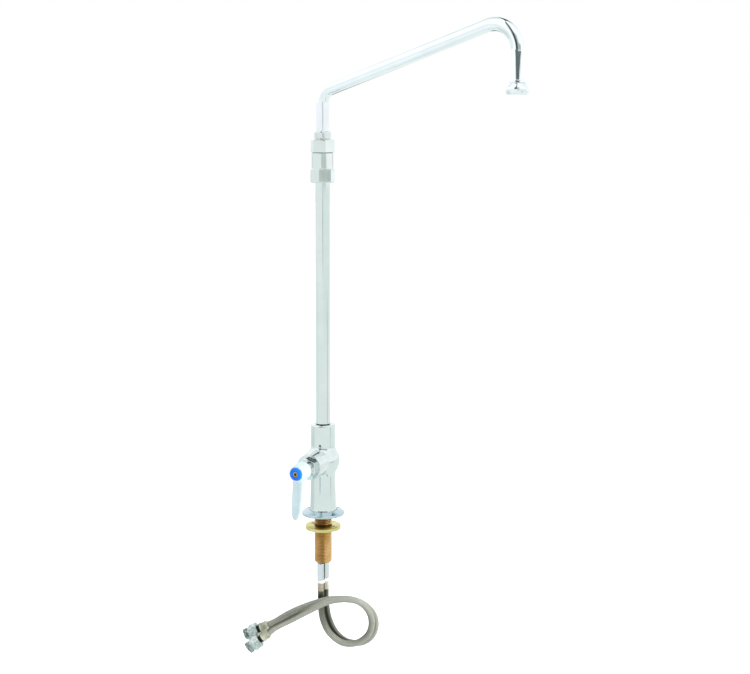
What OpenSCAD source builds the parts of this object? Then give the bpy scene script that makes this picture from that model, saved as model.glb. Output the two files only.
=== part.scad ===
// Deck faucet with a tall riser, a swing spout, one lever valve and two braided supply hoses.
// Millimetres, +Z up. The origin is where the shank's axis meets the deck, under the base flange.
// At rest the spout points along +X and the lever hangs straight down.

/* [Base and shank] */
// Diameter of the round base flange
flange_d = 51; // [46:0.5:60]
// Height of the flange's outer edge
flange_edge = 2.6; // [2:0.1:4]
// Diameter over the shank's thread, 1/2-14 straight pipe thread
shank_d = 20.96; // [20.5:0.02:21.3]
// How far the shank hangs below the deck
shank_drop = 59; // [45:1:80]
// Thickness of deck shown between the flange and the clamp nut
deck_gap = 13.8; // [8:0.2:30]
// Diameter of the round clamp nut
clamp_nut_d = 42.4; // [36:0.2:50]

/* [Body] */
// Diameter of the body's column
column_d = 29.2; // [27.5:0.1:34]
// Height of the column's top above the deck
body_top = 110; // [104:1:130]
// Height of the valve's axis above the deck
valve_height = 66; // [60:1:72]
// Diameter of the swelling round the valve
swelling_d = 40; // [37:0.5:46]
// Diameter of the valve's boss
boss_d = 30.8; // [28:0.2:34]
// Reach of the boss from the column's axis
boss_reach = 41; // [40:1:42]
// Direction of the valve's axis, from +X
valve_angle = -78; // [-120:1:-60]

/* [Riser and spout] */
// Length of the riser, a 12 in pipe nipple
riser_length = 304.8; // [203.2:0.1:457.2]
// Outside diameter of the riser, 3/8 in pipe
riser_d = 17.15; // [17:0.05:17.2]
// Length of pipe thread hidden in each socket
riser_grip = 9.5; // [8:0.5:9.5]
// Reach of the spout, column axis to outlet axis
spout_reach = 254; // [203:1:305]
// Outside diameter of the spout tube
spout_d = 15; // [14.8:0.1:15.2]
// Rise of the spout's sloping run, in degrees
spout_slope = 17.1; // [8:0.1:18]
// Bend radius at the foot of the slope
low_bend_r = 17; // [15:0.5:20]
// Bend radius at the top of the slope
high_bend_r = 29; // [24:0.5:32]
// Width across the flats of the swivel's hexagons, 1 in
swivel_af = 25.4; // [24:0.1:28]

/* [Lever] */
// Length of the lever from the valve's axis to its tip
lever_length = 54; // [48:1:57]
// Width of the lever's blade
lever_w = 13.5; // [11:0.5:15]
// Diameter of the coloured index disc
index_d = 14.5; // [13:0.1:14.6]

/* [Supply hoses] */
// Outside diameter of the braided hoses
hose_d = 8; // [7:0.1:8.1]
// Distance between the two hose stems
hose_spacing = 9.2; // [9.1:0.05:9.4]
// Width across the flats of the end connectors, 5/8 in
connector_af = 15.9; // [15:0.1:16.5]
// Diameter of the end connectors' thread, 9/16 in
connector_thread_d = 14.28; // [13.6:0.02:14.6]

/* [Hidden] */
$fn = 64;

chrome = "gainsboro";
brass = "darkgoldenrod";
rubber = "dimgray";
ceramic = "ivory";
steel = "darkgray";
braid = "gray";

fit = 0.05;            // radial play between parts that screw or slide together in one body
play = 0.08;           // radial play of a shaft that turns in its bore
far = 1;               // how far a cut runs past the face it opens

column_r = column_d / 2;
foot_z = 3;            // underside of the body, on the flange's web
foot_top = 6.5;
foot_r = column_r + 1.4;
flare = 1.2;           // how much wider the column is just above its foot
flare_top = 54;        // where it has run out
shank_r = shank_d / 2;
shank_bore_r = 8;
shank_top = 16;
shank_socket_top = 17;
port_top = 29;         // top of the two threaded inlet ports
stem_r = 3.2;
o_ring_seat_r = 4.5;

valve_bore_r = 11;     // bore that takes the cartridge
seat_z = 5;            // its floor, measured along the valve's axis from the column's axis
cartridge_top = 32;
bonnet_top = 54;
hub_start = 55.5;
hub_end = 74.5;
valve_stem_r = 4;
square_w = 6.2;

riser_bottom = body_top - riser_grip;
riser_top = riser_bottom + riser_length;
swivel_z = riser_top - riser_grip;      // underside of the swivel body
hex_top = swivel_z + 16.2;
joint_z = swivel_z + 34.7;              // top of the swivel's round skirt
neck_top = joint_z + 6.5;
nut_top = joint_z + 15.2;
collar_z = nut_top + 0.5;
collar_top = collar_z + 9;
swivel_r = 12.5;
socket_r = 8;
socket_floor = joint_z - 16.5;
flange_z = neck_top + 1.1;              // underside of the flange that carries the spout
flange_top = flange_z + 2.8;
spout_r = spout_d / 2;
spout_bore_r = spout_r - 1;
corner_z = collar_top + 44.7;           // where the upright and the slope would meet
high_corner_z = corner_z + spout_reach * tan(spout_slope);
low_turn = 90 - spout_slope;
high_turn = 90 + spout_slope;
low_tangent = low_bend_r * tan(low_turn / 2);
high_tangent = high_bend_r * tan(high_turn / 2);
slope_run = spout_reach / cos(spout_slope) - low_tangent - high_tangent;
drop_z = high_corner_z - high_tangent;  // where the upper bend ends and the tube hangs straight
outlet_top = drop_z - 29.7;
outlet_z = outlet_top - 14.9;           // lowest edge of the outlet
tube_end = outlet_z + 7.3;

hose_r = hose_d / 2;
stem_x = hose_spacing / 2;
neck_r = 4.5;
neck_z = -shank_drop - 1;
ferrule_z = -80;
hose_z = -94.6;        // where each hose leaves its upper ferrule
barb_r = 2.5;

// Each hose's route, from its upper ferrule to its lower one.
front_route = [[0, -stem_x, hose_z], [0, -stem_x, -107], [0.5, -4.5, -119], [2.5, -3.5, -131.5],
    [7.5, -1.5, -143.5], [15, 2, -152.5], [25, 6.5, -158.5], [36, 12.5, -158.8],
    [45.5, 16.5, -154], [53, 20, -145.3], [57, 20.5, -133.3], [56.5, 19, -121], [52.5, 14.5, -110.3],
    [46, 8.5, -102.9], [37.5, 1, -99.7], [28.5, -7, -99.3], [19, -14, -101.5], [10, -20.5, -106.1],
    [1, -27, -111.9], [-8.5, -33.5, -117.9], [-17, -40, -123.5], [-25.5, -46.5, -128.7],
    [-32.8, -52, -133.5], [-38.8, -56.5, -139.4]];
rear_route = [[0, stem_x, hose_z], [0, stem_x, -107], [1, 5.2, -118.5], [2.5, 6.8, -130.5],
    [6.5, 9, -142.5], [13.5, 11.5, -152.5], [23, 16, -159.8], [33, 21.5, -161.6], [43.5, 26, -158.6],
    [51.5, 29.5, -150.4], [55.5, 31, -138.9], [55.5, 29, -126.4], [51, 24.5, -115.8],
    [43.5, 17.5, -107.4], [34, 10, -103.2], [24.5, 1.5, -101.9], [14.5, -6, -102.5], [5, -12.5, -105],
    [-5, -19, -109], [-15.5, -25, -114], [-25, -30.5, -119.5], [-34, -35, -125.5],
    [-42, -39.2, -131.7], [-50.5, -43.2, -136.4]];

// Lengths along a hose's end fitting, from the end of the hose.
ferrule_len = 11;
tail_shoulder = 12.5;
connector_start = 13.2;
hex_end = 25;
relief_end = 27.2;
connector_end = 31.5;
tail_end = 26.2;

function unit(v) = v / norm(v);
function last(route) = route[len(route) - 1];
function end_direction(route) = unit(last(route) - route[len(route) - 2]);
function tangent(route, i) =
    i == 0 ? unit(route[1] - route[0]) :
    i == len(route) - 1 ? end_direction(route) :
    unit(unit(route[i + 1] - route[i]) + unit(route[i] - route[i - 1]));
// The part of a normal that is square to the route at point i.
function carried(normal, route, i) =
    let (t = tangent(route, min(i, len(route) - 1))) unit(normal - (normal * t) * t);
function normals(route) =
    [for (i = 0, n = carried([1, 0, 0], route, 0); i < len(route); i = i + 1, n = carried(n, route, i)) n];

// A round tube of the given radius whose rings stand square to the route's points.
module swept_tube(route, radius, sides = 10) {
    side_vectors = normals(route);
    rings = [for (i = [0 : len(route) - 1])
        let (t = tangent(route, i), n = side_vectors[i], b = cross(t, n))
        for (k = [0 : sides - 1]) route[i] + radius * (cos(360 * k / sides) * n + sin(360 * k / sides) * b)];
    walls = [for (i = [0 : len(route) - 2], k = [0 : sides - 1], half = [0, 1])
        let (a = i * sides + k, b = i * sides + (k + 1) % sides)
        half == 0 ? [a, a + sides, b] : [b, a + sides, b + sides]];
    base = (len(route) - 1) * sides;
    start_cap = [for (k = [1 : sides - 2]) [0, k, k + 1]];
    end_cap = [for (k = [1 : sides - 2]) [base, base + k + 1, base + k]];
    polyhedron(points = rings, faces = concat(walls, start_cap, end_cap), convexity = 6);
}

// A ring of rectangular section.
module ring(outer_r, inner_r, low, high) {
    difference() {
        translate([0, 0, low]) cylinder(r = outer_r, h = high - low);
        translate([0, 0, low - far]) cylinder(r = inner_r, h = high - low + 2 * far);
    }
}

// A plain round cut or solid between two heights.
module rod(radius, low, high) {
    translate([0, 0, low]) cylinder(r = radius, h = high - low);
}

// A round cut or solid between two points.
module rod_between(radius, start, end) {
    d = end - start;
    translate(start) rotate([0, acos(d.z / norm(d)), atan2(d.y, d.x)]) cylinder(r = radius, h = norm(d));
}

// A hexagonal bar between two heights, with its corners turned down at the ends named.
module hex_bar(across_flats, low, high, chamfer_low, chamfer_high) {
    corner_r = across_flats / sqrt(3);
    land_r = across_flats / 2 - 0.3;
    slope = (corner_r - land_r) * 0.58;
    intersection() {
        translate([0, 0, low]) cylinder(r = corner_r, h = high - low, $fn = 6);
        rotate_extrude() polygon([
            [0, low],
            [chamfer_low ? land_r : corner_r, low],
            [corner_r, chamfer_low ? low + slope : low],
            [corner_r, chamfer_high ? high - slope : high],
            [chamfer_high ? land_r : corner_r, high],
            [0, high]]);
    }
}

// A rubber ring centred at the given height.
module o_ring(ring_r, cord_r, z) {
    translate([0, 0, z]) rotate_extrude() translate([ring_r, 0]) circle(r = cord_r, $fn = 32);
}

// Children drawn along +Z here lie along the valve's axis, and their +X hangs straight down.
module on_valve_axis() {
    translate([0, 0, valve_height]) rotate([0, 0, valve_angle]) rotate([0, 90, 0]) children();
}

// Children drawn along +Z here lie on from the end of a hose.
module at_hose_end(route) {
    d = end_direction(route);
    translate(last(route)) rotate([0, acos(d.z), atan2(d.y, d.x)]) children();
}

// Cast column with the valve's boss, drilled for shank, inlets, cartridge and riser.
module valve_body() {
    round_r = 1.8;
    color(chrome) difference() {
        union() {
            rod(foot_r, foot_z, foot_top);
            rod(column_r, foot_top, body_top - round_r);
            translate([0, 0, foot_top]) cylinder(r1 = column_r + flare, r2 = column_r, h = flare_top - foot_top);
            translate([0, 0, body_top - round_r]) rotate_extrude() union() {
                square([column_r - round_r, round_r]);
                translate([column_r - round_r, 0]) intersection() {
                    circle(r = round_r);
                    square(round_r);
                }
            }
            translate([0, 0, valve_height]) sphere(r = swelling_d / 2);
            on_valve_axis() {
                rod(boss_d / 2, 0, boss_reach - 1.2);
                translate([0, 0, boss_reach - 1.2]) cylinder(r1 = boss_d / 2, r2 = boss_d / 2 - 1.2, h = 1.2);
            }
        }
        rod(shank_r + fit, foot_z - far, shank_socket_top);
        for (side = [-1, 1]) translate([0, side * stem_x, 0]) {
            rod(o_ring_seat_r, shank_socket_top - far, shank_socket_top + 2);
            rod(stem_r + fit, shank_socket_top, port_top);
        }
        // chamber where the two supplies meet, and the way up to the valve's seat
        rod(8, port_top, 42);
        rod(3.5, 41, valve_height);
        on_valve_axis() {
            rod(5, -4, seat_z + far);
            rod(valve_bore_r, seat_z, boss_reach + far);
            // way out of the cartridge to the riser
            rod_between(2.6, [-7, 0, 14], [-(riser_bottom - valve_height - 4), 0, 4]);
        }
        rod(7, riser_bottom - 8, riser_bottom);
        rod(riser_d / 2 + fit, riser_bottom - 0.2, body_top + far);
    }
}

// Shallow round flange that covers the deck hole.
module base_flange() {
    color(chrome) rotate_extrude() polygon([
        [shank_r + 0.25, 1.5], [shank_r + 0.25, foot_z], [foot_r + 0.1, foot_z], [foot_r + 0.1, 5.9],
        [17, 5.8], [flange_d / 2 - 1, flange_edge + 0.5], [flange_d / 2 - 0.2, flange_edge],
        [flange_d / 2, flange_edge - 0.7], [flange_d / 2, 0], [flange_d / 2 - 1.4, 0],
        [flange_d / 2 - 1.4, 1.5]]);
}

// Rubber gasket under the flange.
module base_gasket() {
    color(rubber) ring(flange_d / 2 - 1.5, shank_r + 0.4, 0, 1.5);
}

// Hollow threaded shank that passes through the deck.
module threaded_shank() {
    color(brass) difference() {
        union() {
            rod(shank_r, -shank_drop + 1.6, shank_top);
            translate([0, 0, -shank_drop]) cylinder(r1 = shank_r - 1.4, r2 = shank_r, h = 1.6);
        }
        rod(shank_bore_r, -shank_drop - far, shank_top + far);
    }
}

// Round nut that clamps the deck from below, with slots for a spanner.
module clamp_nut() {
    nut_h = 4;
    slot_w = 3.4;
    color(brass) difference() {
        ring(clamp_nut_d / 2, shank_r + fit, -deck_gap - nut_h, -deck_gap);
        for (turn = [6, 186]) rotate([0, 0, turn])
            translate([shank_r + 0.6, -slot_w / 2, -deck_gap - 2.2]) cube([4.6, slot_w, 2.2 + far]);
    }
}

// Upright pipe, threaded at both ends.
module riser_pipe() {
    color(chrome) ring(riser_d / 2, 6.3, riser_bottom, riser_top);
}

// Nut that holds the cartridge in the boss.
module bonnet_nut() {
    color(chrome) on_valve_axis() difference() {
        union() {
            rod(valve_bore_r - fit, cartridge_top, boss_reach);
            hex_bar(21, boss_reach, 46.5, false, true);
            rod(8.8, 46.5, bonnet_top - 0.8);
            translate([0, 0, bonnet_top - 0.8]) cylinder(r1 = 8.8, r2 = 8, h = 0.8);
        }
        rod(6.5, cartridge_top - far, 43.6);
        rod(valve_stem_r + 0.5, 43, bonnet_top + far);
    }
}

// Sleeve that holds the ceramic discs and guides the stem.
module cartridge_body() {
    color(brass) on_valve_axis() difference() {
        union() {
            rod(valve_bore_r - 0.1, 6, 10);
            rod(9.4, 10, 22);
            rod(valve_bore_r - 0.1, 22, cartridge_top);
            rod(6.4, cartridge_top, 43);
        }
        rod(8.1, 6 - far, 15);
        rod(valve_stem_r + play, 14, 43 + far);
        // windows where the water leaves
        translate([-12, -4, 10.7]) cube([24, 8, 4.3]);
        // groove of the outer seal
        ring(valve_bore_r + far, 9.3, 26, 28);
    }
}

// Rubber seat pressed between the cartridge and the floor of its bore.
module seat_seal() {
    color(rubber) on_valve_axis() ring(8, 5.2, seat_z + 0.02, 7.6);
}

// A ceramic disc with two ports shaped like quarter circles.
module ceramic_disc(radius, low, high, turn) {
    difference() {
        rod(radius, low, high);
        for (side = [0, 180]) rotate([0, 0, turn + side]) intersection() {
            ring(radius - 1.6, 1.4, low - far, high + far);
            translate([0, 0, low - 2 * far]) cube([radius, radius, high - low + 4 * far]);
        }
    }
}

// Disc that stays still on the seat.
module fixed_disc() {
    color(ceramic) on_valve_axis() ceramic_disc(8.05, 7.6, 10.4, 0);
}

// Disc that the stem turns over the fixed one. At rest it covers the ports.
module turning_disc() {
    color(ceramic) on_valve_axis() ceramic_disc(7.8, 10.45, 13, 90);
}

// Outer seal of the cartridge.
module cartridge_o_ring() {
    color(rubber) on_valve_axis() o_ring(10.1, 0.8, 27);
}

// Stem between the lever and the turning disc, with a square end.
module valve_stem() {
    color(brass) on_valve_axis() difference() {
        union() {
            difference() {
                rod(7.8, 13, 14.9);
                for (side = [-1, 1]) translate([0, side * 6.2, 12]) cube([9, 5, 8], center = true);
            }
            rod(valve_stem_r, 14.8, hub_start - 0.2);
            translate([-square_w / 2, -square_w / 2, hub_start - 0.3]) cube([square_w, square_w, 12.3]);
        }
        ring(valve_stem_r + far, 2.9, 21.6, 23.4);
        rod(1.6, hub_start + 4, hub_start + 12 + far);
    }
}

// Seal of the stem.
module stem_o_ring() {
    color(rubber) on_valve_axis() o_ring(3.45, 0.55, 22.5);
}

// Hub and blade of the lever. The blade hangs down, leans slightly outwards and has a crowned face.
module lever_handle() {
    tip_r = lever_w / 2 - 1;
    crown_r = 15;
    color(chrome) on_valve_axis() difference() {
        union() {
            rotate_extrude() polygon([
                [0, hub_start], [10.2, hub_start], [10.9, hub_start + 0.8], [10.9, hub_start + 4],
                [10.2, hub_start + 9], [9.2, hub_end - 4], [8.7, hub_end - 0.6], [8.1, hub_end],
                [0, hub_end]]);
            intersection() {
                translate([0, 0, hub_start]) linear_extrude(40) union() {
                    polygon([
                        [0, -lever_w / 2], [20, -lever_w / 2], [lever_length - tip_r, -tip_r],
                        [lever_length - tip_r, tip_r], [20, lever_w / 2], [0, lever_w / 2]]);
                    translate([lever_length - tip_r, 0]) circle(r = tip_r);
                }
                rotate([90, 0, 0]) linear_extrude(40, center = true) polygon([
                    [0, hub_start + 5], [12, hub_start + 8], [28, hub_start + 11.8],
                    [42, hub_start + 14.8], [lever_length - 3, hub_start + 17],
                    [lever_length + 1, hub_start + 20], [lever_length + 1, hub_start + 40],
                    [0, hub_start + 40]]);
                rod_between(crown_r, [-4, 0, hub_start + 13.4 - crown_r],
                    [66, 0, hub_start + 24.6 - crown_r]);
            }
        }
        translate([-square_w / 2 - fit, -square_w / 2 - fit, hub_start - far])
            cube([square_w + 2 * fit, square_w + 2 * fit, 13.5]);
        rod(1.9, hub_start, hub_end);
        rod(index_d / 2 + 0.1, hub_end - 2, hub_end + 8);
    }
}

// Coloured disc in the face of the hub.
module index_disc() {
    color("dodgerblue") on_valve_axis() difference() {
        union() {
            rod(index_d / 2, hub_end - 2, hub_end + 1.4);
            translate([0, 0, hub_end + 1.4]) cylinder(r1 = index_d / 2, r2 = index_d / 2 - 1, h = 0.8);
        }
        rod(3.3, hub_end - 2 - far, hub_end + 3);
    }
}

// Screw that holds the lever on the stem, with a hexagonal socket.
module handle_screw() {
    color(brass) on_valve_axis() difference() {
        union() {
            rod(3.15, hub_end - 2, hub_end + 1.6);
            rod(1.6 - fit, hub_start + 5, hub_end - 2);
        }
        translate([0, 0, hub_end - 0.4]) cylinder(r = 3 / sqrt(3), h = 3, $fn = 6);
    }
}

// Lower half of the swivel: a hexagon screwed on the riser, a round skirt and a threaded neck.
module swivel_body() {
    color(chrome) difference() {
        union() {
            rotate([0, 0, -11]) hex_bar(swivel_af, swivel_z, hex_top, true, true);
            rod(swivel_r, hex_top - 1, joint_z - 0.3);
            rod(11, joint_z - 0.3, neck_top);
        }
        rod(riser_d / 2 + fit, swivel_z - far, riser_top + 0.5);
        rod(5.5, riser_top, socket_floor + far);
        rod(socket_r, socket_floor, neck_top + far);
    }
}

// Hexagon nut that keeps the spout's flange down, domed on top.
module swivel_nut() {
    color(chrome) difference() {
        rotate([0, 0, 18]) hex_bar(swivel_af, joint_z, nut_top, false, true);
        rod(11 + fit, joint_z - far, nut_top - 4);
        rod(8.45, nut_top - 5, nut_top + far);
    }
}

// Slippery washer under the spout's flange.
module lower_swivel_washer() {
    color("whitesmoke") ring(10.6, 8.15, neck_top, neck_top + 1);
}

// Slippery washer over the spout's flange.
module upper_swivel_washer() {
    color("whitesmoke") ring(10.6, 8.3, flange_top + 0.1, nut_top - 4);
}

// Sleeve that turns in the swivel, with two seal grooves, a flange and a spigot for the tube.
module spout_stem() {
    color(brass) difference() {
        union() {
            rod(socket_r - play, socket_floor + 0.6, flange_z);
            rod(9.9, flange_z, flange_top);
            rod(8.2, flange_top, collar_z);
            rod(spout_bore_r - fit, collar_z, collar_z + 11);
        }
        rod(4.8, socket_floor - far, collar_z + 12);
        for (z = [socket_floor + 5, socket_floor + 12]) ring(socket_r + far, 6.3, z, z + 2);
    }
}

// Seals of the swivel.
module spout_o_rings() {
    color(rubber) for (z = [socket_floor + 6, socket_floor + 13]) o_ring(7.1, 0.8, z);
}

// Collar at the foot of the spout tube.
module spout_collar() {
    color(chrome) rotate_extrude() polygon([
        [spout_r + fit, collar_z], [9.9, collar_z], [9.7, collar_top - 1.6], [9.2, collar_top - 0.6],
        [8.3, collar_top], [spout_r + fit, collar_top]]);
}

// One bend of the spout tube, from straight up towards +X, a hair thicker than the straight runs.
module tube_bend(radius, bend_r, turn) {
    translate([bend_r, 0, 0]) rotate([90, 0, 0]) rotate([0, 0, 180 - turn])
        rotate_extrude(angle = turn) translate([bend_r, 0]) circle(r = radius + 0.02);
}

// The spout tube's path as a solid of the given radius, whose two ends run on by the given length.
module spout_path(radius, run_on) {
    lap = 0.5;
    rod(radius, collar_z - run_on, corner_z - low_tangent + lap);
    translate([0, 0, corner_z - low_tangent]) tube_bend(radius, low_bend_r, low_turn);
    translate([0, 0, corner_z]) rotate([0, low_turn, 0])
        rod(radius, low_tangent - lap, low_tangent + slope_run + lap);
    translate([spout_reach, 0, drop_z]) rotate([0, 0, 180]) tube_bend(radius, high_bend_r, high_turn);
    translate([spout_reach, 0, 0]) rod(radius, tube_end - run_on, drop_z + lap);
}

// Tube that rises from the swivel, slopes up and turns down to the outlet.
module spout_tube() {
    color(chrome) difference() {
        spout_path(spout_r, 0);
        spout_path(spout_bore_r, far);
    }
}

// Children drawn on the Z axis stand on the outlet's axis.
module at_outlet() {
    translate([spout_reach, 0, 0]) children();
}

// Ring on the end of the tube, with the thread that takes the outlet.
module outlet_collar() {
    color(chrome) at_outlet() difference() {
        union() {
            rod(8.5, tube_end, outlet_top - 3.3);
            rod(9.15, outlet_top - 3.3, outlet_top - 0.5);
            translate([0, 0, outlet_top - 0.5]) cylinder(r1 = 9.15, r2 = 8.6, h = 0.5);
        }
        rod(spout_r + fit, tube_end - far, outlet_top + far);
    }
}

// Flared outlet.
module outlet_housing() {
    color(chrome) at_outlet() rotate_extrude() polygon([
        [8.55, outlet_top - 3.5], [9.2, outlet_top - 3.5], [9.4, outlet_z + 10.2], [10, outlet_z + 8.6],
        [11.2, outlet_z + 6.4], [12.4, outlet_z + 4.2], [12.7, outlet_z + 2.8], [12.5, outlet_z + 1.4],
        [11.8, outlet_z + 0.4], [10.8, outlet_z], [9.8, outlet_z + 0.2], [8, outlet_z + 1.4],
        [7.6, outlet_z + 1.6], [7.6, outlet_z + 2.6], [8.55, outlet_z + 2.6]]);
}

// Seal between the end of the tube and the screen.
module outlet_gasket() {
    color(rubber) at_outlet() ring(8.45, 6.2, tube_end - 1.2, tube_end - 0.05);
}

// Round screen with a grid of holes.
module outlet_screen() {
    low = tube_end - 1.7;
    color(steel) at_outlet() difference() {
        rod(8.45, low, low + 0.45);
        for (row = [-2 : 2], col = [-2 : 2])
            translate([row * 2.4 - 0.7, col * 2.4 - 0.7, low - far]) cube([1.4, 1.4, 3]);
    }
}

// Plastic disc whose holes straighten the stream.
module stream_former() {
    color("white") at_outlet() difference() {
        rod(8.45, outlet_z + 2.65, tube_end - 1.75);
        rod(1.1, outlet_z, tube_end);
        for (turn = [0 : 60 : 300]) rotate([0, 0, turn]) translate([3.1, 0, 0]) rod(1.1, outlet_z, tube_end);
        for (turn = [15 : 30 : 345]) rotate([0, 0, turn]) translate([6, 0, 0]) rod(1, outlet_z, tube_end);
    }
}

// Hose stem: a thin tube up through the shank into the body, a neck and a barb.
module hose_stem(side) {
    color(chrome) translate([0, side * stem_x, 0]) difference() {
        union() {
            rod(barb_r, hose_z, ferrule_z);
            rod(neck_r, ferrule_z, neck_z);
            rod(stem_r, neck_z, port_top - 1);
        }
        rod(1.6, hose_z - far, port_top + far);
    }
}

// Crimped ferrule at the top of a hose.
module upper_ferrule(side) {
    color("silver") translate([0, side * stem_x, 0]) difference() {
        union() {
            rod(neck_r + 0.02, ferrule_z - 4.5, ferrule_z);
            rod(4.3, hose_z, ferrule_z - 4.5);
            for (band = [0 : 2]) rod(4.5, hose_z + 0.8 + 3.1 * band, hose_z + 2.8 + 3.1 * band);
        }
        rod(barb_r, hose_z - far, ferrule_z + far);
    }
}

// Seals at the mouths of the two inlet ports.
module inlet_o_rings() {
    color(rubber) for (side = [-1, 1]) translate([0, side * stem_x, 0])
        o_ring(3.84, 0.62, shank_socket_top + 1.1);
}

// Crimped ferrule at the lower end of a hose.
module lower_ferrule(route) {
    color("silver") at_hose_end(route) difference() {
        union() {
            cylinder(r1 = 4.6, r2 = 5.7, h = 1.5);
            rod(5.7, 1.5, ferrule_len - 1.5);
            rod(6, ferrule_len - 1.5, ferrule_len);
        }
        rod(barb_r, -far, ferrule_len + far);
    }
}

// Tail that the connector turns on.
module hose_tail(route) {
    color(steel) at_hose_end(route) difference() {
        union() {
            rod(barb_r, 0, ferrule_len);
            rod(5, ferrule_len, tail_shoulder);
            rod(4, tail_shoulder, tail_end);
        }
        rod(1.6, -far, tail_end + far);
        ring(4 + far, 3, 16.6, 18.4);
        ring(4 + far, 3.5, 21.4, 22.4);
    }
}

// Seals between the tails and the connectors.
module tail_o_rings() {
    color(rubber) for (route = [front_route, rear_route]) at_hose_end(route) o_ring(3.5, 0.5, 17.5);
}

// Wire rings that keep the connectors on the tails.
module tail_snap_rings() {
    color(steel) for (route = [front_route, rear_route]) at_hose_end(route) o_ring(4, 0.45, 21.9);
}

// Hexagonal connector with a male thread, free to turn on its tail.
module connector(route) {
    bore_r = 4 + play;
    color(chrome) at_hose_end(route) difference() {
        union() {
            hex_bar(connector_af, connector_start, hex_end, true, true);
            rod(5.9, hex_end - 0.5, relief_end);
            rod(connector_thread_d / 2, relief_end, connector_end - 0.7);
            translate([0, 0, connector_end - 0.7])
                cylinder(r1 = connector_thread_d / 2, r2 = connector_thread_d / 2 - 0.7, h = 0.7);
        }
        rod(bore_r, connector_start - far, tail_end + 0.4);
        rod(3, tail_end, connector_end + far);
        ring(4.6, bore_r - 0.2, 21.3, 22.5);
    }
}

module front_hose_stem() { hose_stem(-1); }
module rear_hose_stem() { hose_stem(1); }
module front_upper_ferrule() { upper_ferrule(-1); }
module rear_upper_ferrule() { upper_ferrule(1); }
module front_hose() { color(braid) swept_tube(front_route, hose_r); }
module rear_hose() { color(braid) swept_tube(rear_route, hose_r); }
module front_lower_ferrule() { lower_ferrule(front_route); }
module rear_lower_ferrule() { lower_ferrule(rear_route); }
module front_hose_tail() { hose_tail(front_route); }
module rear_hose_tail() { hose_tail(rear_route); }
module front_connector() { connector(front_route); }
module rear_connector() { connector(rear_route); }

valve_body();
base_flange();
base_gasket();
threaded_shank();
clamp_nut();
riser_pipe();
bonnet_nut();
cartridge_body();
seat_seal();
fixed_disc();
cartridge_o_ring();
swivel_body();
swivel_nut();
lower_swivel_washer();
upper_swivel_washer();
spout_stem();
spout_o_rings();
spout_collar();
spout_tube();
outlet_collar();
outlet_housing();
outlet_gasket();
outlet_screen();
stream_former();
valve_stem();
turning_disc();
stem_o_ring();
lever_handle();
index_disc();
handle_screw();
front_hose_stem();
rear_hose_stem();
inlet_o_rings();
front_upper_ferrule();
rear_upper_ferrule();
front_hose();
rear_hose();
front_lower_ferrule();
rear_lower_ferrule();
front_hose_tail();
rear_hose_tail();
tail_o_rings();
tail_snap_rings();
front_connector();
rear_connector();
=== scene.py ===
import math

import bpy
import numpy as np
from mathutils import Matrix, Vector


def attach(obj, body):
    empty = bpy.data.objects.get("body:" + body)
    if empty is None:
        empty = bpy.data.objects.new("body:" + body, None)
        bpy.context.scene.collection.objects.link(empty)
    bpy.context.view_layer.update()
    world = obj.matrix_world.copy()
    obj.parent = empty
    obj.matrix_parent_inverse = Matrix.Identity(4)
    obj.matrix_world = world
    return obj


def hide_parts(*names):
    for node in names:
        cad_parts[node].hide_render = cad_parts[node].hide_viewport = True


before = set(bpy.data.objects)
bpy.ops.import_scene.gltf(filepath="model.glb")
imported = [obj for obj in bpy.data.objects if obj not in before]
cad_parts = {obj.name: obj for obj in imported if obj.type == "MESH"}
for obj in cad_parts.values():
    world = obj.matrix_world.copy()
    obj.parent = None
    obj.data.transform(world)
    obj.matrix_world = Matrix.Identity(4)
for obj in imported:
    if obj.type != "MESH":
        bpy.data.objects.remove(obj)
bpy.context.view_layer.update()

MM = 0.001
TAU = 2 * math.pi

# ---------------------------------------------------------------- camera

CAM_AZIMUTH = 36.652      # direction of the camera from the riser, from -Y towards +X, in degrees
CAM_DISTANCE = 1.5697     # from the riser's axis, level, in metres
CAM_HEIGHT = 0.4574       # above the deck
CAM_YAW = -2.239
CAM_PITCH = 7.489
CAM_ROLL = 0.203
CAM_LENS = 64.575
SENSOR_WIDTH = 36
CAM_SHIFT_Y = -0.0412


def make_camera():
    az = math.radians(CAM_AZIMUTH)
    look = az + math.radians(CAM_YAW)
    pitch = math.radians(CAM_PITCH)
    roll = math.radians(CAM_ROLL)
    place = Vector((math.sin(az) * CAM_DISTANCE, -math.cos(az) * CAM_DISTANCE, CAM_HEIGHT))
    ahead = Vector((-math.sin(look) * math.cos(pitch), math.cos(look) * math.cos(pitch), -math.sin(pitch)))
    right = Vector((math.cos(look), math.sin(look), 0))
    up = right.cross(ahead)
    side = right * math.cos(roll) + up * math.sin(roll)
    top = up * math.cos(roll) - right * math.sin(roll)
    data = bpy.data.cameras.new("camera")
    data.lens = CAM_LENS
    data.sensor_width = SENSOR_WIDTH
    data.shift_y = CAM_SHIFT_Y
    data.clip_start, data.clip_end = 0.05, 50
    cam = bpy.data.objects.new("camera", data)
    bpy.context.scene.collection.objects.link(cam)
    cam.matrix_world = Matrix((
        (side.x, top.x, -ahead.x, place.x),
        (side.y, top.y, -ahead.y, place.y),
        (side.z, top.z, -ahead.z, place.z),
        (0, 0, 0, 1)))
    bpy.context.scene.camera = cam


make_camera()

# ---------------------------------------------------------------- materials


def add_node(tree, kind, **props):
    n = tree.nodes.new(kind)
    for key, value in props.items():
        setattr(n, key, value)
    return n


def add_math(tree, op, values, clamp=False):
    """A math node, whose values are numbers or the outputs of other nodes."""
    n = add_node(tree, "ShaderNodeMath", operation=op, use_clamp=clamp)
    for slot, value in zip(n.inputs, values):
        if isinstance(value, (int, float)):
            slot.default_value = value
        else:
            tree.links.new(value, slot)
    return n.outputs[0]


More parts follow.
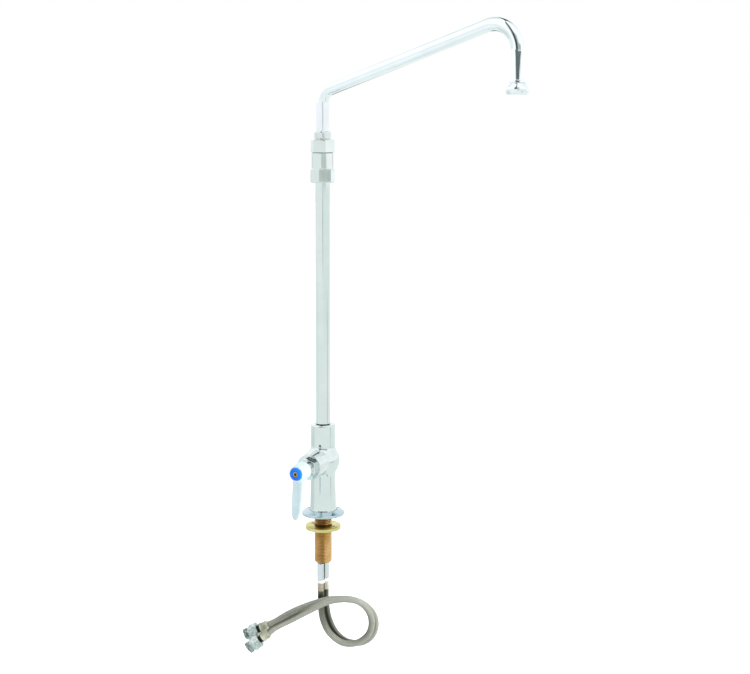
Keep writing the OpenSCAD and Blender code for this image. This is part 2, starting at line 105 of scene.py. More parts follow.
class Mat:
    """A node material with a principled shader and a few helpers to build what drives it."""

    def __init__(self, name, color, metallic=0.0, roughness=0.5, **sockets):
        self.mat = bpy.data.materials.new(name)
        self.mat.use_nodes = True
        self.tree = self.mat.node_tree
        self.bsdf = self.tree.nodes["Principled BSDF"]
        self.bsdf.inputs["Base Color"].default_value = (*color, 1)
        self.bsdf.inputs["Metallic"].default_value = metallic
        self.bsdf.inputs["Roughness"].default_value = roughness
        for key, value in sockets.items():
            self.bsdf.inputs[key.replace("_", " ")].default_value = value
        self.coords = self.node("ShaderNodeTexCoord")

    def node(self, kind, **props):
        return add_node(self.tree, kind, **props)

    def link(self, a, b):
        self.tree.links.new(a, b)

    def mapped(self, scale):
        m = self.node("ShaderNodeMapping")
        m.inputs["Scale"].default_value = scale
        self.link(self.coords.outputs["Object"], m.inputs["Vector"])
        return m.outputs["Vector"]

    def noise(self, scale, detail=3.0, vector=None, rough=0.5):
        n = self.node("ShaderNodeTexNoise")
        n.inputs["Scale"].default_value = scale
        n.inputs["Detail"].default_value = detail
        n.inputs["Roughness"].default_value = rough
        self.link(vector or self.coords.outputs["Object"], n.inputs["Vector"])
        return n.outputs["Fac"]

    def math(self, op, *values):
        return add_math(self.tree, op, values)

    def spread(self, value, from_low, from_high, low, high):
        n = self.node("ShaderNodeMapRange", clamp=True)
        n.inputs["From Min"].default_value = from_low
        n.inputs["From Max"].default_value = from_high
        n.inputs["To Min"].default_value = low
        n.inputs["To Max"].default_value = high
        self.link(value, n.inputs["Value"])
        return n.outputs["Result"]

    def ramp(self, value, *stops):
        n = self.node("ShaderNodeValToRGB")
        while len(n.color_ramp.elements) < len(stops):
            n.color_ramp.elements.new(0.5)
        for e, (place, color) in zip(n.color_ramp.elements, stops):
            e.position = place
            e.color = (*color, 1)
        self.link(value, n.inputs["Fac"])
        return n.outputs["Color"]

    def color(self, value):
        self.link(value, self.bsdf.inputs["Base Color"])

    def roughness(self, value):
        self.link(value, self.bsdf.inputs["Roughness"])

    def bump(self, height, distance, strength=1.0):
        n = self.node("ShaderNodeBump")
        n.inputs["Strength"].default_value = strength
        n.inputs["Distance"].default_value = distance
        self.link(height, n.inputs["Height"])
        self.link(n.outputs["Normal"], self.bsdf.inputs["Normal"])


def make_chrome(name, color, rough_low, rough_high, waviness=0.00002):
    """Polished plating: faint waviness from the casting, and hairline rubs that change its gloss."""
    m = Mat(name, color, metallic=1.0, roughness=rough_low)
    cloud = m.noise(55, 3)
    dark = tuple(c * 0.955 for c in color)
    m.color(m.ramp(cloud, (0.35, dark), (0.65, color)))
    rubs = m.noise(240, 2, m.mapped((1, 1, 0.12)))
    m.roughness(m.spread(rubs, 0.35, 0.75, rough_low, rough_high))
    m.bump(m.noise(38, 2), waviness, 0.5)
    return m.mat


def make_brass(name, dark, light, rough_low, rough_high, turned=True):
    """Bare brass: turning lines round it, tarnish in clouds, and on a turned rod painted light that makes one
    side lighter.
    """
    m = Mat(name, light, metallic=1.0, roughness=rough_low)
    cloud = m.noise(70, 5, rough=0.6)
    lines = m.noise(900, 2, m.mapped((0.04, 0.04, 1))) if turned else m.noise(500, 3)
    mixed = m.math("ADD", m.math("MULTIPLY", cloud, 0.7), m.math("MULTIPLY", lines, 0.3))
    if turned:
        # painted light: a turned rod is lighter on its side towards +X and +Y, changing near its middle
        xyz = m.node("ShaderNodeSeparateXYZ")
        m.link(m.coords.outputs["Object"], xyz.inputs[0])
        across = m.math("ADD", m.math("MULTIPLY", xyz.outputs["X"], 0.80),
                        m.math("MULTIPLY", xyz.outputs["Y"], 0.60))
        mixed = m.math("ADD", m.math("MULTIPLY", mixed, 0.45), m.spread(across, 0.0012, 0.0020, 0.20, 0.36))
    m.color(m.ramp(mixed, (0.38, dark), (0.62, light)))
    m.roughness(m.spread(mixed, 0.35, 0.65, rough_high, rough_low))
    m.bump(lines, 0.00006, 0.4)
    return m.mat


def make_plain(name, dark, light, roughness, grain=400, metallic=0.0, bump=0.00005, patch=90, **sockets):
    """Moulded or pressed surface with a fine grain."""
    m = Mat(name, light, metallic=metallic, roughness=roughness, **sockets)
    cloud = m.noise(patch, 4)
    m.color(m.ramp(cloud, (0.35, dark), (0.65, light)))
    m.bump(m.noise(grain, 3), bump, 0.5)
    return m.mat


def make_braid(name, carriers, pitch):
    """Wire braid. U runs round the hose and V along it, both in metres over the hose's length."""
    m = Mat(name, (0.36, 0.355, 0.29), metallic=0.1, roughness=0.5)
    uv = m.node("ShaderNodeSeparateXYZ")
    m.link(m.coords.outputs["UV"], uv.inputs[0])
    turn = m.math("MULTIPLY", uv.outputs["X"], carriers)
    run = m.math("MULTIPLY", uv.outputs["Y"], carriers / pitch)
    a = m.math("ADD", turn, run)
    b = m.math("SUBTRACT", turn, run)
    both = m.math("ADD", m.math("FLOOR", a), m.math("FLOOR", b))
    over = m.math("GREATER_THAN", m.math("SINE", m.math("MULTIPLY", both, math.pi / 2)), 0.3)

    def strand(value):
        saw = m.math("FRACT", value)
        bow = m.math("SINE", m.math("MULTIPLY", saw, math.pi))
        wires = m.math("ABSOLUTE", m.math("SINE", m.math("MULTIPLY", saw, 4 * math.pi)))
        return m.math("ADD", m.math("MULTIPLY", bow, 0.7), m.math("MULTIPLY", wires, 0.3))

    first, second = strand(a), strand(b)
    height = m.math("ADD", m.math("MULTIPLY", first, over),
                    m.math("MULTIPLY", second, m.math("SUBTRACT", 1.0, over)))
    dirt_and_shade = m.noise(35, 3)
    # painted shade: the braid is darker at its upper end, fading out by 65 mm down the hose
    painted_top_shade = m.spread(uv.outputs["Y"], 0.005, 0.065, -0.34, 0.0)
    tone = m.math("ADD", m.math("MULTIPLY", height, 0.75), m.math("MULTIPLY", dirt_and_shade, 0.25))
    # painted shade from a mesh attribute, darker where the hoses lie together
    painted_shade = m.node("ShaderNodeAttribute", attribute_name="painted_shade")
    tone = m.math("SUBTRACT", m.math("ADD", tone, painted_top_shade), m.math("MULTIPLY", painted_shade.outputs["Fac"], 0.6))
    m.color(m.ramp(tone, (0.1, (0.03, 0.028, 0.014)), (0.45, (0.155, 0.153, 0.106)),
                   (0.9, (0.43, 0.435, 0.40))))
    m.roughness(m.spread(height, 0.0, 1.0, 0.6, 0.33))
    m.bump(height, 0.00018, 0.8)
    return m.mat


CHROME = make_chrome("chrome_plate", (0.80, 0.835, 0.83), 0.03, 0.07)
# a brighter copy of the chrome for the spout and its outlet, which is painted light
CHROME_SPOUT_LIT = make_chrome("chrome_spout_painted_light", (0.93, 0.955, 0.975), 0.03, 0.07)
CHROME_CAST = make_chrome("chrome_cast", (0.79, 0.83, 0.825), 0.05, 0.11, 0.00004)
# a darker blue-grey copy of the chrome for the flange, which is a painted reflection of the room
CHROME_FLANGE_PAINTED_REFLECTION = make_chrome("chrome_flange_painted_reflection", (0.55, 0.655, 0.71), 0.05, 0.10)
CHROME_LEVER = make_plain("satin_lever", (0.60, 0.72, 0.76), (0.66, 0.77, 0.81), 0.42, metallic=0.55,
                          bump=0.00002)
NICKEL = make_plain("nickel_ends", (0.40, 0.475, 0.455), (0.80, 0.86, 0.84), 0.34, grain=700, metallic=1.0,
                    bump=0.00014, patch=420)
NICKEL_THREAD = make_plain("nickel_thread", (0.24, 0.29, 0.275), (0.74, 0.81, 0.79), 0.36, metallic=1.0,
                           patch=420)
# painted shade for the side of the front hose's stem and ferrule next to the rear one
STEM_SHADE = make_plain("painted_stem_shade", (0.03, 0.025, 0.01), (0.12, 0.10, 0.05), 0.5, metallic=0.3)
NECK = make_chrome("polished_neck", (0.78, 0.83, 0.88), 0.10, 0.18)
STEEL = make_plain("stainless_steel", (0.38, 0.39, 0.38), (0.55, 0.56, 0.55), 0.3, metallic=1.0)
SHANK = make_brass("shank_brass", (0.50, 0.28, 0.10), (0.78, 0.51, 0.23), 0.22, 0.38)
# painted shade for the shank's thread just above the clamp nut
SHANK_SHADE = make_plain("painted_shank_shade", (0.06, 0.03, 0.004), (0.22, 0.11, 0.02), 0.45, metallic=0.8)
NUT_BRASS = make_brass("nut_brass", (0.70, 0.62, 0.22), (0.86, 0.77, 0.36), 0.28, 0.38, turned=False)
SCREW_BRASS = make_brass("screw_brass", (0.62, 0.40, 0.12), (0.85, 0.60, 0.24), 0.18, 0.3, turned=False)
FERRULE = make_plain("crimped_ferrule", (0.34, 0.29, 0.21), (0.52, 0.47, 0.38), 0.38, metallic=0.5)
# a lighter copy of the ferrule finish for the rear hose's upper ferrule, which is painted light; the front
# one keeps the darker copy
FERRULE_LIT = make_plain("crimped_ferrule_painted_light", (0.56, 0.53, 0.46), (0.70, 0.68, 0.61), 0.38,
                          metallic=0.5)
FERRULE_LOW = make_plain("lower_ferrule", (0.24, 0.24, 0.17), (0.50, 0.49, 0.38), 0.45, metallic=0.3)
COLLAR_WHITE = make_plain("ferrule_lip", (0.80, 0.81, 0.80), (0.90, 0.90, 0.89), 0.3, metallic=0.2)
RUBBER = make_plain("black_rubber", (0.02, 0.02, 0.02), (0.045, 0.045, 0.045), 0.7, grain=900)
BLUE = make_plain("blue_index", (0.0, 0.13, 0.68), (0.0, 0.18, 0.86), 0.3, grain=700, bump=0.00002,
                  Specular_IOR_Level=0.25, Coat_Weight=0.08, Coat_Roughness=0.15)
# painted shade inside the screw's socket
SOCKET_SHADE = make_plain("painted_socket_shade", (0.01, 0.008, 0.006), (0.03, 0.02, 0.015), 0.6)
WHITE_PLASTIC = make_plain("white_plastic", (0.78, 0.78, 0.76), (0.86, 0.86, 0.84), 0.45)
CERAMIC = make_plain("ceramic", (0.80, 0.79, 0.74), (0.88, 0.87, 0.83), 0.25)
# painted shade for gaps: the hose tails, the groove above the body and the top of the swivel's skirt
GAP_SHADE = make_plain("painted_gap_shade", (0.006, 0.008, 0.007), (0.015, 0.018, 0.016), 0.7)
CARRIERS = 16             # strands of the braid each way
BRAID_PITCH = 30          # length of one turn of a strand, in millimetres
BRAID = make_braid("wire_braid", CARRIERS, BRAID_PITCH * MM)

# ---------------------------------------------------------------- shapes, in millimetres


def build(name, verts, faces, body, material, nodes=(), normals=None, sharp=35, uvs=None, where=None,
          painted_shade=None):
    """A mesh object that rides on a body, stands for CAD nodes and shades smoothly between sharp edges.
    Faces whose centre passes the test named where take the second material. The last argument is the depth of
    painted shade at each vertex, where it sits in a gap, from 0 to 1."""
    mesh = bpy.data.meshes.new(name)
    mesh.from_pydata((np.asarray(verts, float) * MM).tolist(), [], faces)
    mesh.validate()
    mesh.shade_smooth()
    if normals is not None:
        mesh.normals_split_custom_set_from_vertices([tuple(n) for n in normals])
    elif sharp:
        mesh.set_sharp_from_angle(angle=math.radians(sharp))
    if uvs is not None:
        layer = mesh.uv_layers.new(name="along")
        loops = np.zeros(len(mesh.loops), np.int32)
        mesh.loops.foreach_get("vertex_index", loops)
        layer.data.foreach_set("uv", np.asarray(uvs, np.float32)[loops].ravel())
    # the painted shade is kept on the vertices for the braid's shader
    if painted_shade is not None:
        dirt_and_shade = mesh.attributes.new("painted_shade", "FLOAT", "POINT")
        dirt_and_shade.data.foreach_set("value", np.asarray(painted_shade, np.float32))
    for m in material if isinstance(material, (list, tuple)) else [material]:
        mesh.materials.append(m)
    if where:
        for poly in mesh.polygons:
            if where(*(c / MM for c in poly.center)):
                poly.material_index = 1
    obj = bpy.data.objects.new(name, mesh)
    bpy.context.scene.collection.objects.link(obj)
    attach(obj, body)
    if nodes:
        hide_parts(*([nodes] if isinstance(nodes, str) else nodes))
    return obj


def placed(verts, frame_axes):
    """Points given along an axis, moved to where the axis is. frame_axes is (origin, x, y, z)."""
    origin, x, y, z = (np.array(v, float) for v in frame_axes)
    v = np.asarray(verts, float)
    return origin + v[:, :1] * x + v[:, 1:2] * y + v[:, 2:3] * z


UPRIGHT = ((0, 0, 0), (1, 0, 0), (0, 1, 0), (0, 0, 1))
VALVE_Z = 66
VALVE_TURN = math.radians(-78)
# along the valve's axis, with +X hanging straight down
VALVE = ((0, 0, VALVE_Z), (0, 0, -1), (-math.sin(VALVE_TURN), math.cos(VALVE_TURN), 0),
         (math.cos(VALVE_TURN), math.sin(VALVE_TURN), 0))
REACH = 254               # from the riser's axis to the outlet's
OUTLET = ((REACH, 0, 0), (1, 0, 0), (0, 1, 0), (0, 0, 1))


def rounded(profile, radius):
    """The profile with each corner turned into a small arc. A point may carry its own radius."""
    steps = 4
    pts = [(p[0], p[1], p[2] if len(p) > 2 else radius) for p in profile]
    out = []
    for i, (x, y, r) in enumerate(pts):
        a, b = pts[i - 1], pts[(i + 1) % len(pts)]
        va = np.array([a[0] - x, a[1] - y])
        vb = np.array([b[0] - x, b[1] - y])
        la, lb = np.linalg.norm(va), np.linalg.norm(vb)
        if r <= 0 or la < 1e-6 or lb < 1e-6:
            out.append((x, y))
            continue
        va, vb = va / la, vb / lb
        angle = math.acos(max(-1, min(1, float(va @ vb))))
        if angle > math.pi - 0.05:
            out.append((x, y))
            continue
        cut = min(r / math.tan(angle / 2), la * 0.45, lb * 0.45)
        p0, p1 = np.array([x, y]) + va * cut, np.array([x, y]) + vb * cut
        for k in range(steps + 1):
            t = k / steps
            q = (1 - t) ** 2 * p0 + 2 * t * (1 - t) * np.array([x, y]) + t ** 2 * p1
            out.append((float(q[0]), float(q[1])))
    return out


def supported(profile):
    """The profile with a point just inside each end of its long straight parts, so that they shade flat."""
    near = 0.12
    out = []
    for i, (x, y) in enumerate(profile):
        dx, dy = profile[(i + 1) % len(profile)][0] - x, profile[(i + 1) % len(profile)][1] - y
        out.append((x, y))
        if math.hypot(dx, dy) > 5 * near:
            t = near / math.hypot(dx, dy)
            out += [(x + dx * t, y + dy * t), (x + dx * (1 - t), y + dy * (1 - t))]
    return out


def lathe_mesh(profile, segments=96, closed=True):
    """Surface of revolution about Z. Points of the profile are (radius, height)."""
    verts, faces = [], []
    n = len(profile)
    for r, z in profile:
        for k in range(segments):
            a = TAU * k / segments
            verts.append((r * math.cos(a), r * math.sin(a), z))
    for i in range(n if closed else n - 1):
        j = (i + 1) % n
        for k in range(segments):
            m = (k + 1) % segments
            faces.append((i * segments + k, i * segments + m, j * segments + m, j * segments + k))
    return verts, faces


def lathe(name, profile, body, material, nodes=(), at=UPRIGHT, radius=0.25, segments=96, where=None):
    """A turned piece. radius is that of its corners."""
    verts, faces = lathe_mesh(supported(rounded(profile, radius)), segments)
    return build(name, placed(verts, at), faces, body, material, nodes, where=where)


# Signed distances, for shapes whose edges run smoothly into each other.


def smooth_min(a, b, k):
    h = np.clip(0.5 + 0.5 * (b - a) / k, 0, 1)
    return b * (1 - h) + a * h - k * h * (1 - h)


def smooth_max(a, b, k):
    return -smooth_min(-a, -b, k)


def rod_distance(p, r, low, high, edge):
    """A cylinder about Z with rounded edges."""
    d = np.stack([np.hypot(p[:, 0], p[:, 1]) - r + edge,
                  np.maximum(p[:, 2] - high, low - p[:, 2]) + edge], 1)
    return np.minimum(d.max(1), 0) + np.linalg.norm(np.maximum(d, 0), axis=1) - edge


def box_distance(p, half, edge):
    d = np.abs(p) - np.array(half) + edge
    return np.minimum(d.max(1), 0) + np.linalg.norm(np.maximum(d, 0), axis=1) - edge


def hex_distance(p, flats, low, high, edge, both_ends):
    """A hexagonal bar about Z, its corners turned down at the high end or at both."""
    rho = np.hypot(p[:, 0], p[:, 1])
    angle = np.arctan2(p[:, 1], p[:, 0])
    d = None
    for k in range(6):
        a = math.radians(30 + 60 * k)
        side = p[:, 0] * math.cos(a) + p[:, 1] * math.sin(a) - flats / 2
        d = side if d is None else smooth_max(d, side, edge)
    d = smooth_max(d, p[:, 2] - high, edge)
    d = smooth_max(d, low - p[:, 2], edge)
    c, s = math.cos(math.radians(58)), math.sin(math.radians(58))
    d = smooth_max(d, (rho - flats / 2 + 0.1) * c + (p[:, 2] - high) * s, edge)
    if both_ends:
        d = smooth_max(d, (rho - flats / 2 + 0.1) * c + (low - p[:, 2]) * s, edge)
    return d


def gradient(distance, p):
    """The direction in which the distance grows."""
    h = 0.01
    g = np.stack([distance(p + e) - distance(p - e) for e in np.eye(3) * h], 1) / (2 * h)
    return g / np.maximum(np.linalg.norm(g, axis=1, keepdims=True), 1e-9)


def pulled(distance, verts, rounds=8):
    """Points drawn onto the surface, and its normals there."""
    p = np.asarray(verts, float)
    for _ in range(rounds):
        p = p - distance(p)[:, None] * gradient(distance, p)
    return p, gradient(distance, p)


def hexagon(name, flats, low, high, both_ends, body, material, nodes, turn, hole, edge, at=UPRIGHT):
    """A hexagonal piece with slightly rounded edges, a round hole through it, and turned by some degrees."""
    def distance(p):
        d = hex_distance(p, flats, low, high, edge, both_ends)
        return smooth_max(d, hole - np.hypot(p[:, 0], p[:, 1]), 0.25)

    seg, rows, caps = 216, 40, 10
    corner = flats / math.sqrt(3)
    ring_at = [(hole + (corner - hole) * i / caps, high) for i in range(caps)]
    ring_at += [(corner, high - (high - low) * i / rows) for i in range(rows + 1)]
    ring_at += [(hole + (corner - hole) * (caps - 1 - i) / caps, low) for i in range(caps)]
    ring_at += [(hole, low + (high - low) * (i + 1) / 5) for i in range(4)]
    verts, faces = [], []
    for r, z in ring_at:
        for k in range(seg):
            a = TAU * k / seg
            across = flats / 2 / math.cos((a % (TAU / 6)) - TAU / 12)
            q = r * across / corner if r > hole else r
            verts.append((q * math.cos(a), q * math.sin(a), z))
    n = len(ring_at)
    for i in range(n):
        j = (i + 1) % n
        for k in range(seg):
            m = (k + 1) % seg
            faces.append((i * seg + k, j * seg + k, j * seg + m, i * seg + m))
    p, normals = pulled(distance, verts)
    c, s = math.cos(math.radians(turn)), math.sin(math.radians(turn))
    spin = np.array([[c, s, 0], [-s, c, 0], [0, 0, 1]])
    p, normals = p @ spin, normals @ spin
    axes = np.array([at[1], at[2], at[3]], float)
    return build(name, placed(p, at), faces, body, material, nodes, normals=normals @ axes)


def skin(name, distance, blocks, size, relax, body, material, nodes, at=UPRIGHT):
    """A closed smooth surface. blocks are rough closed meshes that overlap where the shape is."""
    verts, faces = [], []
    for v, f in blocks:
        base = len(verts)
        verts += list(v)
        faces += [tuple(base + i for i in face) for face in f]
    mesh = bpy.data.meshes.new(name + "_rough")
    mesh.from_pydata([tuple(v) for v in verts], [], faces)
    rough = bpy.data.objects.new(name + "_rough", mesh)
    bpy.context.scene.collection.objects.link(rough)
    remesh = rough.modifiers.new("remesh", "REMESH")
    remesh.mode = "VOXEL"
    remesh.voxel_size = size
    rough.modifiers.new("smooth", "SMOOTH").iterations = relax
    done = bpy.data.meshes.new_from_object(rough.evaluated_get(bpy.context.evaluated_depsgraph_get()))
    co = np.zeros(len(done.vertices) * 3)
    done.vertices.foreach_get("co", co)
    polys = [tuple(f.vertices) for f in done.polygons]
    bpy.data.objects.remove(rough)
    p, normals = pulled(distance, co.reshape(-1, 3))
    axes = np.array([at[1], at[2], at[3]], float)
    return build(name, placed(p, at), polys, body, material, nodes, normals=normals @ axes)


def capped(profile):
    """A rough surface of revolution from an open profile, closed at both ends."""
    segments = 48
    verts, faces = lathe_mesh(profile, segments, closed=False)
    faces.append(tuple(range(segments - 1, -1, -1)))
    faces.append(tuple(range(len(verts) - segments, len(verts))))
    return verts, faces


def solid_rod(r, low, high):
    """A rough closed cylinder for a skin."""
    return capped([(0.01, low), (r, low), (r, high), (0.01, high)])


def threaded(name, r, depth, pitch, low, high, lead, inner, body, material, nodes=(), at=UPRIGHT,
             segments=72, chamfer=1.0, where=None):
    """A hollow rod with a real helical thread, from low to high, chamfered at the low end."""
    steps = 8
    rows = int((high - low) / pitch * steps) + 1
    verts, faces = [], []
    for i in range(rows):
        z = low + (high - low) * i / (rows - 1)
        for k in range(segments):
            a = TAU * k / segments
            phase = (z / pitch - a / TAU) % 1.0
            groove = 1 - abs(2 * phase - 1)
            groove = max(0.0, min(1.0, (groove - 0.12) / 0.76))
            fade = min(1.0, max(0.0, (high - z) / lead)) if lead else 1.0
            q = r - depth * (1 - groove) * fade
            q = min(q, r - max(0.0, chamfer - (z - low)))
            verts.append((q * math.cos(a), q * math.sin(a), z))
    for q, z in ((inner, high), (inner, low)):
        for k in range(segments):
            a = TAU * k / segments
            verts.append((q * math.cos(a), q * math.sin(a), z))
    total = rows + 2
    for i in range(total):
        j = (i + 1) % total
        for k in range(segments):
            m = (k + 1) % segments
            faces.append((i * segments + k, i * segments + m, j * segments + m, j * segments + k))
    return build(name, placed(verts, at), faces, body, material, nodes, sharp=50, where=where)


def smooth_route(points, step):
    """Even points along a smooth curve through the given ones."""
    p = np.array(points, float)
    ext = np.vstack([2 * p[0] - p[1], p, 2 * p[-1] - p[-2]])
    dense = []
    for i in range(1, len(ext) - 2):
        p0, p1, p2, p3 = ext[i - 1:i + 3]
        for t in np.linspace(0, 1, 24, endpoint=False):
            dense.append(0.5 * ((2 * p1) + (-p0 + p2) * t + (2 * p0 - 5 * p1 + 4 * p2 - p3) * t * t
                                + (-p0 + 3 * p1 - 3 * p2 + p3) * t ** 3))
    dense.append(p[-1])
    dense = np.array(dense)
    run = np.concatenate([[0], np.cumsum(np.linalg.norm(np.diff(dense, axis=0), axis=1))])
    n = max(2, int(round(run[-1] / step)))
    at = np.linspace(0, run[-1], n + 1)
    return np.stack([np.interp(at, run, dense[:, c]) for c in range(3)], 1), at


def carried_frames(path):
    """Tangents and two side vectors that turn as little as they can along the path."""
    t = np.gradient(path, axis=0)
    t /= np.linalg.norm(t, axis=1, keepdims=True)
    n = np.cross(t[0], [0, 1, 0.01])
    n /= np.linalg.norm(n)
    sides = []
    for d in t:
        n = n - (n @ d) * d
        n /= np.linalg.norm(n)
        sides.append(n)
    sides = np.array(sides)
    return t, sides, np.cross(t, sides)


def tube_mesh(path, run, radius, segments, offset=None, caps=True):
    """A tube along the path, with UV of turns round and metres along."""
    t, n, b = carried_frames(path)
    verts, uvs, faces = [], [], []
    cols = segments + 1
    for i in range(len(path)):
        for k in range(cols):
            a = TAU * k / segments
            r = radius + (offset(k / segments, run[i]) if offset else 0.0)
            verts.append(path[i] + r * (math.cos(a) * n[i] + math.sin(a) * b[i]))
            uvs.append((k / segments, run[i] * MM))
    for i in range(len(path) - 1):
        for k in range(segments):
            faces.append((i * cols + k, i * cols + k + 1, (i + 1) * cols + k + 1, (i + 1) * cols + k))
    if caps:
        faces.append(tuple(range(segments - 1, -1, -1)))
        faces.append(tuple((len(path) - 1) * cols + k for k in range(segments)))
    return np.array(verts), faces, uvs


# ---------------------------------------------------------------- hoses, and what is on them

FRONT_ROUTE = [
    (0, -4.6, -94.6), (0, -4.6, -107), (0.5, -4.5, -119), (2.5, -3.5, -131.5), (7.5, -1.5, -143.5),
    (15, 2, -152.5), (25, 6.5, -158.5), (36, 12.5, -158.8), (45.5, 16.5, -154), (53, 20, -145.3),
    (57, 20.5, -133.3), (56.5, 19, -121), (52.5, 14.5, -110.3), (46, 8.5, -102.9), (37.5, 1, -99.7),
    (28.5, -7, -99.3), (19, -14, -101.5), (10, -20.5, -106.1), (1, -27, -111.9), (-8.5, -33.5, -117.9),
    (-17, -40, -123.5), (-25.5, -46.5, -128.7), (-32.8, -52, -133.5), (-38.8, -56.5, -139.4)]
REAR_ROUTE = [
    (0, 4.6, -94.6), (0, 4.6, -107), (1, 5.2, -118.5), (2.5, 6.8, -130.5), (6.5, 9, -142.5),
    (13.5, 11.5, -152.5), (23, 16, -159.8), (33, 21.5, -161.6), (43.5, 26, -158.6), (51.5, 29.5, -150.4),
    (55.5, 31, -138.9), (55.5, 29, -126.4), (51, 24.5, -115.8), (43.5, 17.5, -107.4), (34, 10, -103.2),
    (24.5, 1.5, -101.9), (14.5, -6, -102.5), (5, -12.5, -105), (-5, -19, -109), (-15.5, -25, -114),
    (-25, -30.5, -119.5), (-34, -35, -125.5), (-42, -39.2, -131.7), (-50.5, -43.2, -136.4)]


def end_axes(route):
    """The frame in which a hose's end fitting is drawn, along its outgoing direction."""
    z = np.array(route[-1], float) - np.array(route[-2], float)
    z /= np.linalg.norm(z)
    x = np.cross([0, 0, 1], z)
    x /= np.linalg.norm(x)
    return route[-1], x, np.cross(z, x), z


FLATS, PRESSED = 8, 0.22    # of a ferrule: flats round it, and how deep they are


def crimped(name, profile, low, high, material, nodes, at, where=None):
    """A ferrule: a turned sleeve whose middle, from low to high, is pressed into flats."""
    prof = supported(rounded(profile, 0.25))
    verts, faces = lathe_mesh(prof, 96)
    out = []
    mid, half = (low + high) / 2, (high - low) / 2
    top = max(p[0] for p in prof) - 0.8
    for x, y, z in verts:
        rho = math.hypot(x, y)
        inside = max(0.0, 1 - (abs(z - mid) / half) ** 4)
        if rho > top and inside > 0:
            a = math.atan2(y, x)
            k = 1 - PRESSED / rho * inside * (0.5 + 0.5 * math.cos(FLATS * a)) ** 2
            x, y = x * k, y * k
        out.append((x, y, z))
    return build(name, placed(out, at), faces, "base", material, nodes, sharp=30, where=where)


STEM_Y = 4.6              # from the riser's axis to each stem's
HOSE_TOP = -94.6          # where the hoses leave their upper ferrules
HOSE_R = 3.93
WEAVE = 0.055             # how far the strands stand above and below that radius


